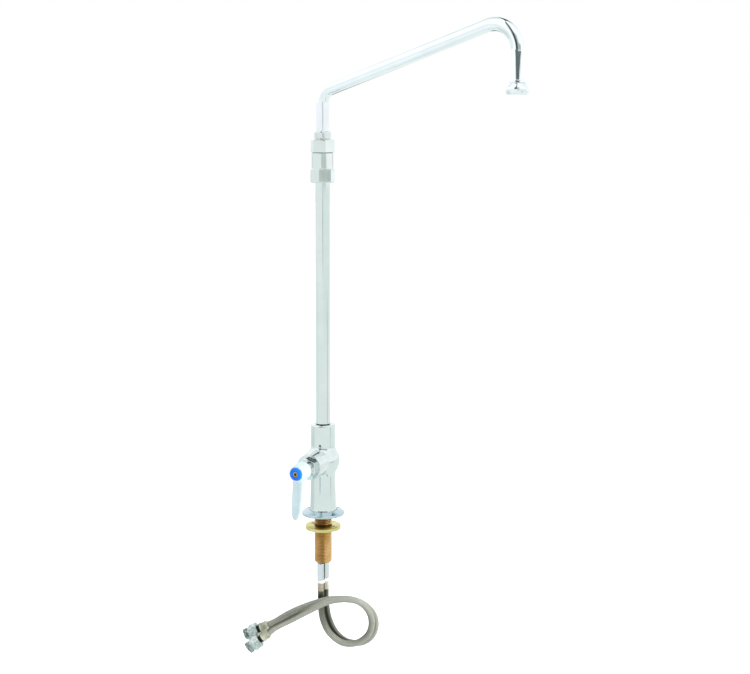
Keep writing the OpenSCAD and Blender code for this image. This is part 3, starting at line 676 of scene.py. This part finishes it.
def make_hose(which, route, other, side, spin):
    """A hose with all that is on it. side is -1 in front and 1 behind, and spin turns its end hexagon."""
    y = side * STEM_Y
    top = ((0, y, 0), (1, 0, 0), (0, 1, 0), (0, 0, 1))
    end = end_axes(route)
    path, run = smooth_route(route, 0.55)

    def weave(u, v):
        a = (CARRIERS * u + v / BRAID_PITCH * CARRIERS) * math.pi
        b = (CARRIERS * u - v / BRAID_PITCH * CARRIERS) * math.pi
        return WEAVE * math.sin(a) * math.sin(b)

    verts, faces, uvs = tube_mesh(path, run, HOSE_R, 96, weave)
    # painted shade where the hoses lie together: on the sides that face each other going down, on the inner
    # side of the loop's far half, and on the sides towards the groove between them on the way to the ferrules
    beside = smooth_route(other, 2.0)[0]
    near = np.concatenate([np.linalg.norm(part[:, None] - beside[None], axis=2).min(axis=1)
                           for part in np.array_split(verts, 40)])
    apart = np.array([np.linalg.norm(p - beside, axis=1).min() for p in path])
    row = np.arange(len(verts)) // (len(verts) // len(path))
    facing = (apart[row] - near) / 4
    facing = (facing + 0.3) / 1.1 if side < 0 else (facing - 0.2) / 0.6
    inner = (32 - np.hypot(verts[:, 0] - 29, verts[:, 2] + 130)) / 8
    groove = (-side * (verts[:, 2] - path[row, 2]) / 4 - 0.35) / 0.5
    going_down = np.interp(run, (70, 100), (1, 0))
    along_loop = np.interp(run, (90, 108, 145, 165), (0, 0.3, 0.3, 0))
    to_ferrule = np.interp(run, (215, 240), (0, 1))
    painted_shade = (np.clip(facing, 0, 1) * going_down[row] + np.clip(inner, 0, 1) * along_loop[row]
               + np.clip(groove, 0, 1) * to_ferrule[row])
    hose = build(which + "_braided_hose", verts, faces, "base", BRAID, which + "_hose",
                 sharp=0, uvs=uvs, painted_shade=painted_shade)

    def shaded_side(x, y, z):
        """The side of the front stem next to the rear one, which takes painted shade."""
        outside = math.hypot(x, y + STEM_Y) > 4
        return side < 0 and z < -60 and outside and -5 < math.degrees(math.atan2(y + STEM_Y, x)) < 100

    upper = crimped(which + "_upper_crimp", [
        (2.5, HOSE_TOP), (4.15, HOSE_TOP), (4.45, -94.0), (4.45, -91.9), (4.1, -91.5), (4.45, -91.1),
        (4.45, -88.6), (4.1, -88.2), (4.45, -87.8), (4.45, -85.3), (4.2, -84.6), (2.5, -84.6)],
        -94, -85, (FERRULE, STEM_SHADE) if side < 0 else FERRULE_LIT, which + "_upper_ferrule", top, where=shaded_side)
    lip = lathe(which + "_upper_lip", [
        (2.5, -84.5), (4.45, -84.5), (4.55, -84.1), (4.55, -81.4), (4.35, -81.0), (2.5, -81.0)],
        "base", COLLAR_WHITE, (), top, 0.3, 64)
    lathe(which + "_stem_neck", [
        (1.6, -80.9), (4.3, -80.9), (4.5, -80.4), (4.5, -60.8), (4.3, -60.2), (3.2, -60.0), (3.2, 27.0),
        (1.6, 27.0)],
        "base", (NECK, STEM_SHADE), which + "_hose_stem", top, 0.3, 64, where=shaded_side)

    lower = crimped(which + "_lower_crimp", [
        (2.5, 0.05), (4.2, 0.05), (4.9, 0.8), (5.6, 1.6), (5.7, 3.0), (5.7, 5.4), (5.45, 5.8), (5.7, 6.2),
        (5.7, 8.8), (6.2, 9.6), (6.2, 10.1), (5.9, 10.4), (2.5, 10.4)],
        1.8, 9.0, FERRULE_LOW, which + "_lower_ferrule", end)
    # the tail neck, between ferrule and end hexagon, is painted dark as shade in the gap
    tail = lathe(which + "_tail_neck", [
        (1.6, 10.5), (4.8, 10.5), (5.0, 10.8), (5.0, 12.2), (4.6, 12.5), (4.0, 12.5), (4.0, 26.2),
        (1.6, 26.2)],
        "base", GAP_SHADE, which + "_hose_tail", end, 0.15, 64)
    nut = hexagon(which + "_end_hex", 15.9, 13.6, 25.0, True, which + "_end", NICKEL,
                  which + "_connector", turn=spin, hole=4.08, edge=0.8, at=end)
    relief = lathe(which + "_end_relief", [(4.1, 24.6), (5.9, 24.6), (5.9, 27.3), (4.1, 27.3)],
                   which + "_end", NICKEL_THREAD, (), end, 0.1, 64)
    nose = threaded(which + "_end_thread", 7.14, 0.62, 1.06, 27.2, 31.5, 0, 3.0, which + "_end",
                    NICKEL_THREAD, (), end, 64, chamfer=0.1)


make_hose("front", FRONT_ROUTE, REAR_ROUTE, -1, 12)
make_hose("rear", REAR_ROUTE, FRONT_ROUTE, 1, 40)

# ---------------------------------------------------------------- body and valve


COLUMN_R = 14.6
BALL_R = 20
BODY_LOW, BODY_TOP = 3.0, 110
MOUTH_R, BOSS_END = 15.4, 41    # the boss's widened end, and its distance from the riser's axis


def body_distance(p):
    swelling = np.linalg.norm(p - np.array([0, 0, VALVE_Z]), axis=1) - BALL_R
    flared = COLUMN_R + np.interp(p[:, 2], [6.5, 54], [1.2, 0])
    column = rod_distance(p, flared, BODY_LOW, BODY_TOP, 1.6)
    foot = rod_distance(p, 16.0, BODY_LOW, 6.4, 0.6)
    q = (p - np.array(VALVE[0])) @ np.array([VALVE[1], VALVE[2], VALVE[3]], float).T
    arm = rod_distance(q, COLUMN_R, -5, 36, 1.0)
    mouth = rod_distance(q, MOUTH_R, 28.5, BOSS_END, 1.0)
    d = smooth_min(column, swelling, 3.0)
    d = smooth_min(d, arm, 2.4)
    d = smooth_min(d, mouth, 0.6)
    d = smooth_min(d, foot, 0.8)
    rho = np.hypot(p[:, 0], p[:, 1])
    d = smooth_max(d, np.minimum(8.75 - rho, p[:, 2] - 104), 0.2)
    return smooth_max(d, (9.2 - rho + p[:, 2] - BODY_TOP) * 0.7071, 0.3)


boss_block, boss_faces = solid_rod(MOUTH_R, 0, BOSS_END)
ball = capped([(0.05, VALVE_Z - BALL_R + 0.05)] + [
    (BALL_R * math.sin(math.radians(180 - a)), VALVE_Z + BALL_R * math.cos(math.radians(180 - a)))
    for a in range(6, 180, 6)] + [(0.05, VALVE_Z + BALL_R - 0.05)])
skin("body_casting", body_distance, [
    solid_rod(COLUMN_R, BODY_LOW, BODY_TOP), (placed(boss_block, VALVE), boss_faces), ball],
    0.7, 2, "base", CHROME_CAST, "valve_body")

lathe("flange_cover", [
    (10.8, 1.6), (10.8, 3.0), (16.2, 3.0), (16.2, 5.9), (17.2, 5.7), (24.4, 3.2, 1.2), (25.4, 2.3, 0.9),
    (25.5, 0.1), (24.2, 0.1), (24.1, 1.6)],
    "base", CHROME_FLANGE_PAINTED_REFLECTION, "base_flange", radius=0.35, segments=160)
lathe("flange_gasket", [(10.9, 0.0), (23.9, 0.0), (23.9, 1.5), (10.9, 1.5)],
      "base", RUBBER, "base_gasket", radius=0.2)

lathe("bonnet_sleeve", [(6.6, 33), (10.9, 33), (10.9, 41.3), (6.6, 41.3)],
      "base", CHROME, (), VALVE, 0.2, 72)
hexagon("bonnet_hex", 21, 41.1, 46.5, False, "base", CHROME, "bonnet_nut",
        turn=8, hole=6.6, edge=0.4, at=VALVE)
lathe("bonnet_neck", [(4.55, 44.0), (8.8, 44.0), (8.8, 53.3), (8.1, 54.0), (4.55, 54.0)],
      "base", CHROME, (), VALVE, 0.3, 72)

# ---------------------------------------------------------------- lever


HUB_LOW, HUB_HIGH = 55.5, 74.5


def lever_distance(p):
    x, y, z = p[:, 0], p[:, 1], p[:, 2]
    rho = np.hypot(x, y)
    hub = rod_distance(p, 10.6, HUB_LOW, HUB_HIGH, 0.9)
    hub = smooth_max(hub, (rho - 11.0 + (z - 57.5) * 0.13) * 0.99, 0.6)
    # the blade leans outwards as it hangs down, crowned in front and flat behind
    half = np.interp(x, [0, 20, 40], [6.9, 6.75, 6.2])
    past = np.maximum(x - 40, 0)
    tip = (np.sqrt((past / 14.2) ** 2 + (y / 6.2) ** 2 + 1e-9) - 1) * 6.2
    outline = np.where(x > 40, tip, np.abs(y) - half)
    front = (z - 69.6 - 0.16 * x + y * y / 30) * 0.96
    back = (60.7 + 0.232 * x - z) * 0.96
    blade = smooth_max(smooth_max(outline, front, 1.8), back, 1.8)
    blade = smooth_max(blade, -x, 1.0)
    d = smooth_min(hub, blade, 2.4)
    return smooth_max(d, -rod_distance(p, 7.35, 72.5, 84, 0.1), 0.3)


blade_verts = [(x, side * w, z) for x, w, za, zb in ((2, 6.2, 61.7, 69.1), (53, 4.0, 73.3, 77.3))
               for side in (-1, 1) for z in (za, zb)]
blade_faces = [(0, 1, 3, 2), (4, 6, 7, 5), (0, 4, 5, 1), (2, 3, 7, 6), (0, 2, 6, 4), (1, 5, 7, 3)]
skin("lever", lever_distance, [solid_rod(10.2, HUB_LOW, HUB_HIGH), (blade_verts, blade_faces)],
     0.5, 3, "lever", CHROME_LEVER, "lever_handle", VALVE)
lathe("index_ring", [(3.3, 72.5), (7.2, 72.5), (7.2, 75.7), (6.3, 76.6), (3.6, 76.6), (3.3, 76.3)],
      "lever", BLUE, "index_disc", VALVE, 0.35, 96)
lathe("screw_head", [(0.01, 74.6), (1.75, 74.6), (1.75, 76.2), (2.8, 76.2), (3.15, 75.8), (3.15, 72.6),
                     (0.01, 72.6)],
      "lever", SCREW_BRASS, "handle_screw", VALVE, 0.12, 48)
# a dark disc in the screw's socket, standing for the shade there
lathe("screw_socket_shade", [(0.01, 74.7), (1.73, 74.7), (1.73, 75.3), (0.01, 75.3)],
      "lever", SOCKET_SHADE, (), VALVE, 0.02, 6)

# ---------------------------------------------------------------- riser and swivel

# the last thread of the riser is a groove just above the body, and the shade in it is painted dark
lathe("riser", [(6.3, 101), (8.5, 101), (8.5, 108.6), (8.15, 109.0, 0), (8.15, 110.5, 0), (8.575, 110.8),
                (8.575, 405.3), (6.3, 405.3)],
      "base", (CHROME, GAP_SHADE), "riser_pipe", segments=128,
      where=lambda x, y, z: 108.7 < z < 110.55 and math.hypot(x, y) > 7)
hexagon("swivel_hex", 25.4, 395.8, 412.2, True, "base", CHROME, "swivel_body",
        turn=-11, hole=8.7, edge=0.5)
# the top of the skirt, under the swivel nut, is painted dark as shade
lathe("swivel_skirt", [(8.0, 411.0), (12.3, 411.0), (12.5, 412.0), (12.5, 429.7), (12.3, 429.95),
                       (11.6, 429.95), (11.6, 431.2), (8.0, 431.2)],
      "base", (CHROME, GAP_SHADE), (), radius=0.25, segments=128,
      where=lambda x, y, z: z > 429.9)
lathe("swivel_neck", [(8.0, 431.0), (11.0, 431.0), (11.0, 437.0), (8.0, 437.0)],
      "base", CHROME, (), radius=0.2)
hexagon("swivel_hex_nut", 25.4, 430.5, 445.7, False, "base", CHROME, "swivel_nut",
        turn=18, hole=8.45, edge=0.6)

# ---------------------------------------------------------------- spout

SLOPE = math.radians(17.1)
CORNER_Z = 499.9          # where the upright's line meets the slope's
LOW_BEND, HIGH_BEND = 17, 29    # radii of the two bends
SPOUT_END = 501.5


def spout_line():
    """The spout's middle line, from its collar to its lower end."""
    pts = []
    low_turn, high_turn = math.pi / 2 - SLOPE, math.pi / 2 + SLOPE
    low_t, high_t = LOW_BEND * math.tan(low_turn / 2), HIGH_BEND * math.tan(high_turn / 2)
    top = CORNER_Z + REACH * math.tan(SLOPE)
    for z in np.arange(446.3, CORNER_Z - low_t, 2.0):
        pts.append((0, 0, z))
    for k in range(25):
        a = low_turn * k / 24
        pts.append((LOW_BEND * (1 - math.cos(a)), 0, CORNER_Z - low_t + LOW_BEND * math.sin(a)))
    start = np.array(pts[-1])
    run = REACH / math.cos(SLOPE) - low_t - high_t
    ahead = np.array([math.cos(SLOPE), 0, math.sin(SLOPE)])
    n = int(run / 4)
    pts += [tuple(start + ahead * run * (k + 1) / n) for k in range(n)]
    for k in range(1, 41):
        a = high_turn * (1 - k / 40)
        pts.append((REACH - HIGH_BEND * (1 - math.cos(a)), 0, top - high_t + HIGH_BEND * math.sin(a)))
    for z in np.arange(top - high_t - 2, SPOUT_END, -2.0):
        pts.append((REACH, 0, z))
    pts.append((REACH, 0, SPOUT_END))
    p = np.array(pts)
    run = np.concatenate([[0], np.cumsum(np.linalg.norm(np.diff(p, axis=0), axis=1))])
    return p, run


line, along = spout_line()
v, f, uv = tube_mesh(line, along, 7.5, 96, caps=False)
build("spout_pipe", v, f, "spout", CHROME_SPOUT_LIT, "spout_tube", sharp=0, uvs=uv)
lathe("spout_foot_ring", [(7.55, 446.2), (9.85, 446.2), (9.85, 453.6), (9.3, 454.6), (8.3, 455.2),
                          (7.55, 455.2)],
      "spout", CHROME, "spout_collar", radius=0.5, segments=128)
lathe("outlet_ring", [(7.55, 502.0), (8.5, 502.0), (8.5, 505.7), (9.15, 505.9), (9.15, 508.4), (8.6, 509.0),
                      (7.55, 509.0)],
      "spout", CHROME_SPOUT_LIT, "outlet_collar", OUTLET, 0.3, 128)
lathe("outlet_bell", [
    (8.6, 505.5), (9.4, 505.5, 0.3), (9.8, 504.5), (11.0, 503.0, 1.5), (12.2, 501.2, 1.5),
    (12.7, 499.3, 1.2), (12.6, 497.4, 1.2), (12.0, 495.7, 1), (11.2, 494.6, 0.8), (10.4, 494.2, 0.6),
    (9.8, 494.3, 0.4), (8.0, 495.5, 0.4), (7.6, 495.8), (7.6, 496.7), (8.55, 496.7)],
    "spout", CHROME_SPOUT_LIT, "outlet_housing", OUTLET, 0.3, 128)

# ---------------------------------------------------------------- shank and clamp nut

# the thread just above the clamp nut takes painted shade
threaded("shank_thread", 10.48, 0.7, 25.4 / 14, -59, 3, 5, 8.0, "base", (SHANK, SHANK_SHADE),
         "threaded_shank", segments=96, chamfer=1.2, where=lambda x, y, z: -14.6 < z < -11.6)


NUT_R, NUT_HOLE_R, NUT_TOP, NUT_HEIGHT = 21.2, 10.55, -13.8, 4
SLOTS_AT = (6, 186)       # directions of the spanner slots, in degrees


def turned_back(p, degrees):
    """X and Y of the points in axes that are turned by that angle."""
    c, s = math.cos(math.radians(degrees)), math.sin(math.radians(degrees))
    return p[:, 0] * c + p[:, 1] * s, -p[:, 0] * s + p[:, 1] * c


def nut_distance(p):
    """A flat round nut with two slots that open into its bore at the top."""
    rho = np.hypot(p[:, 0], p[:, 1])
    d = rod_distance(p, NUT_R, NUT_TOP - NUT_HEIGHT, NUT_TOP, 0.5)
    d = smooth_max(d, NUT_HOLE_R - rho, 0.2)
    for turn in SLOTS_AT:
        x, y = turned_back(p, turn)
        q = np.stack([x - 13.4, y, p[:, 2] - NUT_TOP], 1)
        d = smooth_max(d, -box_distance(q, (2.4, 1.7, 2.2), 0.2), 0.2)
    return d


web = NUT_R - NUT_HOLE_R
nut_v, nut_f = lathe_mesh(
    [(NUT_HOLE_R + web * i / 22, NUT_TOP) for i in range(23)]
    + [(NUT_R, NUT_TOP - NUT_HEIGHT * i / 8) for i in range(1, 9)]
    + [(NUT_R - web * i / 8, NUT_TOP - NUT_HEIGHT) for i in range(1, 9)]
    + [(NUT_HOLE_R, NUT_TOP - NUT_HEIGHT + NUT_HEIGHT * i / 6) for i in range(1, 6)], 240)
nut_v, nut_f = np.array(nut_v), [tuple(reversed(face)) for face in nut_f]
for turn in SLOTS_AT:
    x, y = turned_back(nut_v, turn)
    inside = (x > 10) & (x < 15.7) & (np.abs(y) < 1.65) & (nut_v[:, 2] > NUT_TOP - 0.1)
    nut_v[inside, 2] = -16.0
build("deck_nut", pulled(nut_distance, nut_v, 4)[0], nut_f, "base", NUT_BRASS, "clamp_nut")

# ---------------------------------------------------------------- finishes of the CAD's own pieces

FINISHES = (
    (SCREW_BRASS, ("cartridge_body", "spout_stem", "valve_stem")),
    (CERAMIC, ("fixed_disc", "turning_disc")),
    (RUBBER, ("seat_seal", "cartridge_o_ring", "stem_o_ring", "inlet_o_rings", "tail_o_rings",
              "spout_o_rings", "outlet_gasket")),
    (WHITE_PLASTIC, ("lower_swivel_washer", "upper_swivel_washer", "stream_former")),
    (STEEL, ("tail_snap_rings", "outlet_screen")),
)
for material, nodes in FINISHES:
    for node in nodes:
        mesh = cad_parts[node].data
        mesh.materials.clear()
        mesh.materials.append(material)

# ---------------------------------------------------------------- studio


def make_floor():
    half, level = 9, -0.24    # in metres
    mesh = bpy.data.meshes.new("floor")
    mesh.from_pydata([(-half, -half, level), (half, -half, level), (half, half, level), (-half, half, level)],
                     [], [(0, 1, 2, 3)])
    m = Mat("pale_floor", (0.93, 0.94, 0.94), roughness=0.6)
    m.color(m.ramp(m.noise(3, 2), (0.3, (0.92, 0.93, 0.93)), (0.7, (0.95, 0.955, 0.955))))
    m.bsdf.inputs["Emission Color"].default_value = (1, 1, 1, 1)
    m.bsdf.inputs["Emission Strength"].default_value = 0.25
    mesh.materials.append(m.mat)
    floor = bpy.data.objects.new("floor", mesh)
    bpy.context.scene.collection.objects.link(floor)
    floor.visible_glossy = False


def make_world():
    """A pale room with a few narrow dark strips, which chrome shows as its dark lines. Directions are told
    by d, degrees of azimuth from the camera's own, rightwards, and e, degrees of elevation."""
    world = bpy.data.worlds.new("studio")
    bpy.context.scene.world = world
    world.use_nodes = True
    tree = world.node_tree
    tree.nodes.clear()

    def node(kind, **props):
        return add_node(tree, kind, **props)

    def calc(op, *values, clamp=False):
        return add_math(tree, op, values, clamp)

    coords = node("ShaderNodeTexCoord")
    split = node("ShaderNodeSeparateXYZ")
    tree.links.new(coords.outputs["Generated"], split.inputs[0])
    x, y, z = split.outputs
    azimuth = calc("DEGREES", calc("ARCTAN2", x, calc("MULTIPLY", y, -1.0)))
    d = calc("WRAP", calc("SUBTRACT", azimuth, CAM_AZIMUTH), 180.0, -180.0)
    e = calc("DEGREES", calc("ARCSINE", z))

    def between(value, low, high, soft):
        up = calc("ADD", calc("DIVIDE", calc("SUBTRACT", value, low), soft), 0.5, clamp=True)
        down = calc("ADD", calc("DIVIDE", calc("SUBTRACT", high, value), soft), 0.5, clamp=True)
        return calc("MULTIPLY", up, down)

    def seen_at(z_mm):
        """Elevation at which an upright surface at that height shows the room to the camera."""
        return math.degrees(math.atan((z_mm * MM - CAM_HEIGHT) / CAM_DISTANCE))

    level = None

    def tone(color):
        n = node("ShaderNodeCombineXYZ")
        for slot, value in zip(n.inputs, color):
            slot.default_value = value
        return n.outputs[0]

    def mix(a, b, fac):
        n = node("ShaderNodeMix", data_type="RGBA")
        for slot, value in ((n.inputs[0], fac), (n.inputs[6], a), (n.inputs[7], b)):
            tree.links.new(value, slot)
        return n.outputs[2]

    def zone(color, strength, d_low, d_high, d_soft, e_low, e_high, e_soft):
        """Blends a colour into the room over a patch of directions."""
        nonlocal level
        part = calc("MULTIPLY", between(d, d_low, d_high, d_soft), between(e, e_low, e_high, e_soft))
        level = mix(level, tone(color), calc("MULTIPLY", part, strength))

    pale, white, blue = (0.87, 0.955, 0.935), (1.10, 1.14, 1.16), (0.74, 0.85, 0.87)
    green, black = (0.50, 0.57, 0.54), (0.03, 0.055, 0.045)
    far = 400                 # past every direction, for a patch without an edge on that side
    on_hexagon = (seen_at(394), seen_at(412), 0.06)
    on_skirt = (seen_at(412), seen_at(430), 0.06)
    on_nut = (seen_at(430), seen_at(446), 0.06)
    on_collar = (seen_at(446), seen_at(455.5), 0.06)
    level = tone(pale)
    # overhead and behind
    zone(white, 0.95, -far, far, 1, seen_at(455), 100, 0.25)
    zone(blue, 0.3, 75, far, 30, 9, 75, 8)
    zone((0.55, 0.66, 0.66), 0.7, 120, far, 30, 40, 75, 10)
    zone((0.55, 0.66, 0.66), 0.7, -far, -120, 30, 40, 75, 10)
    zone(black, 0.9, 140, 178, 8, 44, 95, 8)
    zone(white, 0.25, -far, -128, 25, -30, 8, 3)
    zone(white, 0.25, 128, far, 25, -30, 8, 3)
    # under the spout
    zone((0.94, 1.02, 1.06), 0.9, -86, -50, 10, -58, -18.8, 1)
    zone(blue, 0.35, -150, 20, 30, -72, -48, 8)
    # right of the middle the room is a little greener, left of it a little whiter
    zone((0.81, 0.92, 0.90), 0.8, 10, 105, 12, -9, seen_at(396), 1)
    zone((0.93, 0.99, 1.0), 0.6, -100, -12, 12, -6.5, seen_at(396), 2)
    # the line down the upper riser
    zone(green, 0.75, -9, 7, 6, -5.6, seen_at(394), 2.5)
    # the swivel's hexagon, skirt and nut
    zone(green, 0.98, 8, 45, 8, *on_hexagon)
    zone(white, 0.9, 60, far, 20, *on_hexagon)
    zone(white, 0.85, 40, 160, 8, seen_at(412), seen_at(446), 0.06)
    zone((0.90, 1.0, 1.0), 0.7, -120, -14, 8, *on_skirt)
    zone((0.60, 0.67, 0.64), 0.98, -12, 36, 4, *on_skirt)
    zone((0.40, 0.48, 0.46), 0.9, -13, -3, 4, *on_skirt)
    zone((0.2, 0.22, 0.22), 0.6, -180, -146, 10, *on_skirt)
    zone((0.2, 0.2, 0.22), 0.5, 128, 150, 8, *on_skirt)
    zone(green, 0.9, 14, 32, 6, *on_nut)
    zone((0.78, 0.86, 0.86), 0.9, -130, 60, 10, *on_collar)
    zone((0.42, 0.48, 0.52), 0.9, -1, 15, 5, *on_collar)
    # the line in the spout's upright, and the black band of its hanging end
    zone((0.945, 0.975, 0.99), 0.95, -far, far, 1, seen_at(455), seen_at(497), 0.3)
    zone((0.25, 0.30, 0.38), 0.85, -2, 9, 4, seen_at(455), seen_at(500), 0.5)
    zone(black, 0.97, -37, 16, 7, seen_at(501), 2.7, 0.2)
    zone(black, 0.97, -46, 30, 8, 2.5, 3.3, 0.4)
    zone(black, 0.97, -56, 44, 8, 3.1, 3.9, 0.4)
    zone((0.28, 0.37, 0.35), 0.85, -40, 38, 12, 3.9, 20, 6)
    zone((0.28, 0.37, 0.35), 0.8, -40, 10, 12, 18, 40, 6)
    zone(black, 0.95, -44, -12, 10, 3.8, 22, 1.5)
    zone(black, 0.9, -38, -15, 10, 20, 95, 4)
    # the lower riser's line at the right, and grey at the left
    zone(green, 0.85, 68, 80, 6, -13, -7.4, 1.5)
    zone((0.78, 0.87, 0.87), 0.8, -112, -82, 12, -13, -6, 1.5)
    # the body: darker towards the left, thin dark lines round its boss
    zone((0.66, 0.76, 0.76), 0.85, -150, -90, 10, -40, -12.6, 1)
    zone(black, 0.8, 40, 46, 4, -60, -18, 2)
    zone(black, 0.9, 172, far, 3, -40, -2, 2)
    zone(black, 0.9, -far, -172, 3, -40, -2, 2)
    seen = node("ShaderNodeBackground")
    seen.inputs["Color"].default_value = (1, 1, 1, 1)
    lit = node("ShaderNodeBackground")
    tree.links.new(level, lit.inputs["Color"])
    path = node("ShaderNodeLightPath")
    choose = node("ShaderNodeMixShader")
    tree.links.new(path.outputs["Is Camera Ray"], choose.inputs[0])
    tree.links.new(lit.outputs[0], choose.inputs[1])
    tree.links.new(seen.outputs[0], choose.inputs[2])
    out = node("ShaderNodeOutputWorld")
    tree.links.new(choose.outputs[0], out.inputs["Surface"])


def make_light(name, place, aim, size, power):
    """A soft lamp that chrome doesn't mirror."""
    data = bpy.data.lights.new(name, "AREA")
    data.shape = "RECTANGLE"
    data.size, data.size_y = size
    data.energy = power
    light = bpy.data.objects.new(name, data)
    light.location = place
    light.visible_glossy = False
    light.rotation_mode = "QUATERNION"
    light.rotation_quaternion = (Vector(aim) - Vector(place)).to_track_quat("-Z", "Y")
    bpy.context.scene.collection.objects.link(light)


make_floor()
make_world()
make_light("key", (1.5, 0.3, 1.2), (0.05, 0, -0.05), (0.9, 0.9), 55)
bpy.context.scene.view_settings.view_transform = "Standard"
